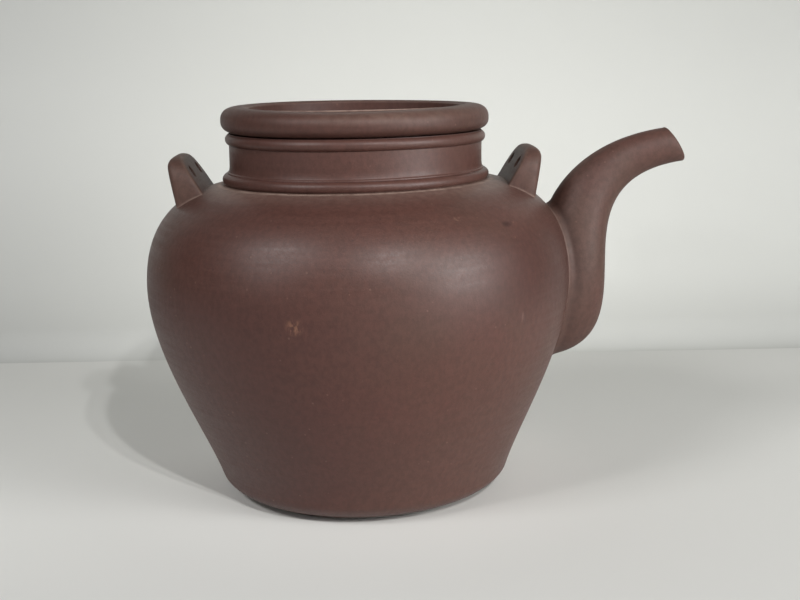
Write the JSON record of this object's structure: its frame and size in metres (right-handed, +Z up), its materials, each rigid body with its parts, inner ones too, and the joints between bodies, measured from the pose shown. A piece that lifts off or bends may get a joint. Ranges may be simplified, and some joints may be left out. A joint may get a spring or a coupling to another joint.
{
  "type": "teapot",
  "caption": "Wide-shouldered unglazed stoneware teapot with a beaded neck, sunken lift-off lid, bent spout and pierced shoulder lugs for bail handles.",
  "frame": {"origin": "on the upright axis at the underside of the foot, where the pot stands", "axes": "+Z up along the axis of the body, +X towards the spout, +Y to the back"},
  "size_m": [0.2562, 0.2, 0.1818],
  "materials": {
    "clay_pot": "satin unglazed",
    "clay_lid": "satin unglazed"
  },
  "bodies": {
    "pot": {"base_disc": "clay_pot", "lower_body": "clay_pot", "upper_body": "clay_pot", "neck_collar": "clay_pot", "neck_foot_bead": "clay_pot", "mouth_bead": "clay_pot", "spout": "clay_pot", "spout_lug": "clay_pot", "rear_lug": "clay_pot"},
    "lid": {"lid_rim": "clay_lid", "lid_flange": "clay_lid", "lid_floor": "clay_lid", "lid_knob": "clay_lid"}
  },
  "joints": [
    {"name": "lid_lift", "type": "slide", "parent": "pot", "child": "lid", "axis": [0, 0, 1], "range_m": [0, 0.07]}
  ]
}
